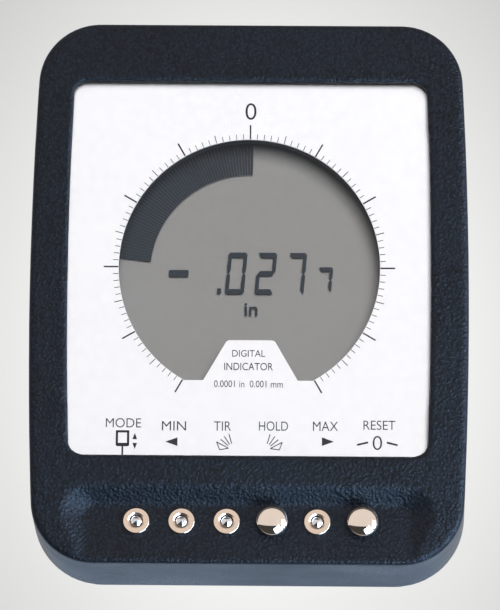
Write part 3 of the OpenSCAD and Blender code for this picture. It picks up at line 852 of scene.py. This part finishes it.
cap_r, cap_foot, cap_rim, cap_dome = 2.2 * mm, 1.05 * mm, 0.30 * mm, 0.98 * mm
dome_r = (cap_r**2 + cap_dome**2) / (2 * cap_dome)
dome_centre = (0, cap_foot + cap_rim + cap_dome - dome_r)
dome_edge = math.degrees(math.asin((cap_foot + cap_rim - dome_centre[1]) / dome_r))
cap_profile = [
    (0, 1.69 * mm),
    (pin_r, 1.69 * mm),
    (pin_r, cap_foot),
    (cap_r - 0.12 * mm, cap_foot),
    *round_off((cap_r - 0.12 * mm, cap_foot + 0.12 * mm), 0.12 * mm, -80, 0, 5),
    *round_off(dome_centre, dome_r, dome_edge + 3, 90, 24),
]
polished_nickel = metal_material(
    "polished_nickel", (0.92, 0.78, 0.67), (0.88, 0.74, 0.63), 0.05, 0.05, 0.11
)
for key in capped:
    cap = turn_profile(f"{key}_domed_cap", cap_profile, 96)
    stand_key_piece(cap, key_names.index(key))
    finish_piece(cap, key, "nickel", polished_nickel, f"{key}_cap")


# ---- Measuring stem ----
# The ground steel stem is flanged inside the case. Its hardened spindle runs in two bronze
# bushings behind a rubber wiper, and ends in a screwed-on point with a knurled grip.

ground_steel = metal_material(
    "ground_steel", (0.62, 0.63, 0.64), (0.52, 0.53, 0.55), 0.5, 0.22, 0.38
)
hard_steel = metal_material(
    "polished_spindle_steel", (0.70, 0.71, 0.73), (0.60, 0.62, 0.64), 0.2, 0.10, 0.22
)
bronze = metal_material(
    "turned_bronze", (0.62, 0.42, 0.20), (0.48, 0.30, 0.14), 0.5, 0.25, 0.42
)
dull_steel = metal_material(
    "zinc_plated_steel", (0.58, 0.60, 0.62), (0.44, 0.46, 0.50), 0.4, 0.28, 0.48
)
machined_aluminium = metal_material(
    "machined_aluminium", (0.66, 0.67, 0.69), (0.58, 0.59, 0.61), 0.6, 0.28, 0.45
)
black_rubber = grained_material(
    "black_rubber", (0.006, 0.006, 0.006), (0.016, 0.016, 0.017), 2200, 0.02 * mm, 0.6, 0.8
)
for node, finish in {
    "stem": ground_steel,
    "spindle": hard_steel,
    "guide_rod": hard_steel,
    "spindle_collar": ground_steel,
    "lower_bushing": bronze,
    "upper_bushing": bronze,
    "stem_screws": dull_steel,
    "carrier_screw": dull_steel,
    "scale_carrier": machined_aluminium,
    "dust_wiper": black_rubber,
}.items():
    paint_node(node, finish)

point_low, point_high = (corner[2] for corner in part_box("contact_point"))
grip_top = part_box("spindle")[0][2]
grip_r, ball_r, shank_r = 2.4 * mm, 1.5 * mm, 1.1 * mm
point_profile = [
    *round_off((0, point_low + ball_r), ball_r, -90, -12, 14),
    (grip_r - 0.25 * mm, grip_top - 3.1 * mm),
    (grip_r, grip_top - 2.8 * mm),
    (grip_r, grip_top - 0.3 * mm),
    (grip_r - 0.25 * mm, grip_top - 0.02 * mm),
    (shank_r, grip_top - 0.02 * mm),
    (shank_r, point_high),
    (0, point_high),
]
# The knurl is cut by drawing in every other vertex round the grip.
knurl_steps, knurl_draw = 96, 0.95
point = turn_profile("knurled_contact_point", point_profile, knurl_steps)
for vertex in point.data.vertices:
    flute = round(math.atan2(vertex.co.y, vertex.co.x) / math.tau * knurl_steps) % 2
    if flute and math.hypot(vertex.co.x, vertex.co.y) > grip_r - 0.01 * mm:
        vertex.co.x *= knurl_draw
        vertex.co.y *= knurl_draw
finish_piece(point, "plunger", "spindle_steel", hard_steel, "contact_point")

# The return spring is wound between the upper bushing and the spindle's collar, and shortens by
# the whole travel as the spindle rises.
spring = copy_solid("return_spring", "wound_return_spring")
bpy.ops.object.shade_smooth_by_angle(angle=math.radians(70))
finish_piece(spring, "case", "spring_wire", ground_steel, "return_spring")
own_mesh(spring)


# ---- Back of the case ----
# A moulded cover under a thin gasket, held by four countersunk screws. It carries a blank data
# plate of brushed aluminium and a coin-slotted cap over the cell.

cover_plastic = grained_material(
    "black_moulded_cover",
    (0.010, 0.011, 0.012),
    (0.026, 0.027, 0.030),
    2400,
    0.02 * mm,
    0.42,
    0.6,
)
brushed_plate = metal_material(
    "brushed_data_plate", (0.66, 0.67, 0.69), (0.58, 0.59, 0.61), 0.8, 0.28, 0.4, lie="Y"
)
for node, finish in {
    "back_cover": cover_plastic,
    "battery_cap": cover_plastic,
    "rating_plate": brushed_plate,
    "cover_screws": dull_steel,
    "cover_gasket": black_rubber,
    "battery_cap_seal": black_rubber,
    "lens_gasket": black_rubber,
    "data_port_cover": black_rubber,
}.items():
    paint_node(node, finish)


# ---- Inner works ----
# Fibreglass boards under green solder mask, black moulded chips and switches, elastomer strips,
# a glass scale and plated contact springs. The lens and the plate hide nearly all of them.

black_epoxy = grained_material(
    "black_epoxy", (0.008, 0.008, 0.009), (0.022, 0.022, 0.024), 5000, 0.006 * mm, 0.5, 0.65
)
frame_plastic = grained_material(
    "matt_black_frame", (0.010, 0.010, 0.011), (0.020, 0.021, 0.022), 3000, 0.01 * mm, 0.6, 0.75
)
ivory_plastic = grained_material(
    "ivory_plunger", (0.62, 0.58, 0.46), (0.74, 0.70, 0.60), 3000, 0.005 * mm, 0.4, 0.55
)
solder_mask = painted_sheet(
    "green_solder_mask", (0.020, 0.14, 0.07), (0.03, 0.19, 0.10), 0.3, 0.45
)
elastomer = painted_sheet(
    "charcoal_elastomer", (0.020, 0.020, 0.022), (0.034, 0.034, 0.036), 0.6, 0.8
)
amber_film = painted_sheet("amber_film", (0.50, 0.24, 0.06), (0.42, 0.19, 0.05), 0.2, 0.35)
cell_steel = metal_material(
    "nickel_plated_cell", (0.68, 0.68, 0.67), (0.60, 0.60, 0.60), 0.3, 0.2, 0.35
)
gold_plate = metal_material(
    "plated_contact_spring", (0.78, 0.58, 0.27), (0.66, 0.47, 0.20), 0.3, 0.2, 0.35
)
scale_glass = clear_material("scale_glass", (0.55, 0.72, 0.76), 0.45, 0.06)
for node, finish in {
    "lcd_frame": frame_plastic,
    "zebra_strips": elastomer,
    "main_board": solder_mask,
    "key_board": solder_mask,
    "reader_board": solder_mask,
    "board_chips": black_epoxy,
    "reader_chip": black_epoxy,
    "key_switches": black_epoxy,
    "data_connector": frame_plastic,
    "board_screws": dull_steel,
    "key_board_screws": dull_steel,
    "key_ribbon": amber_film,
    "battery": cell_steel,
    "top_contact": gold_plate,
    "side_contact": gold_plate,
    "glass_scale": scale_glass,
}.items():
    paint_node(node, finish)
for key in key_names:
    paint_node(f"{key}_plunger", ivory_plastic)
